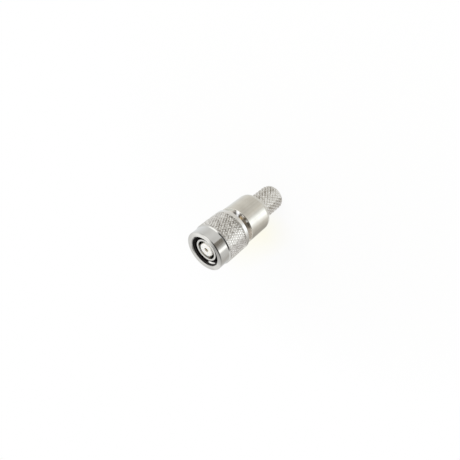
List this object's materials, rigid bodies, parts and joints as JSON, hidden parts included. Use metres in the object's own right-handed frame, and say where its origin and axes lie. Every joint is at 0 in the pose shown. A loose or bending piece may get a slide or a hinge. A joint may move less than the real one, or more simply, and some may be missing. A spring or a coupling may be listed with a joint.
{
  "type": "tnc connector",
  "caption": "Reverse-polarity threaded coaxial cable plug with a knurled coupling nut, a turned body and a knurled neck for crimping onto cable.",
  "frame": {"origin": "centre of the crimp neck's end, where the plug stands", "axes": "+Z along the plug's axis, from the crimp neck to the mating face; the plug is round about it, and +X is square to it, through a tooth row of the nut's knurl"},
  "size_m": [0.015, 0.015, 0.0377],
  "materials": {
    "nut_nickel": "bright nickel plate over a diamond knurl and a plain front collar",
    "body_nickel": "bright nickel plate, fine turning marks on the barrel, diamond knurl on the neck",
    "sleeve_nickel": "polished nickel plate",
    "dielectric": "white PTFE, waxy and slightly translucent",
    "bead": "white PTFE, turned",
    "contact_gold": "gold plate over turned brass",
    "spring_brass": "spring wire, bright",
    "silicone": "moulded silicone rubber, matt"
  },
  "bodies": {
    "plug": {"connector_body": "body_nickel", "outer_contact": "sleeve_nickel", "front_insulator": "dielectric", "rear_insulator": "bead", "centre_contact": "contact_gold", "gasket": "silicone"},
    "ring": {"retaining_ring": "spring_brass"},
    "nut": {"coupling_nut": "nut_nickel"}
  },
  "joints": [
    {"name": "nut_float", "type": "slide", "parent": "plug", "child": "ring", "axis": [0, 0, 1], "range_m": [0, 0.0008]},
    {"name": "nut_spin", "type": "hinge", "parent": "ring", "child": "nut", "pos_m": [0, 0, 0.024], "axis": [0, 0, 1], "continuous": true}
  ]
}
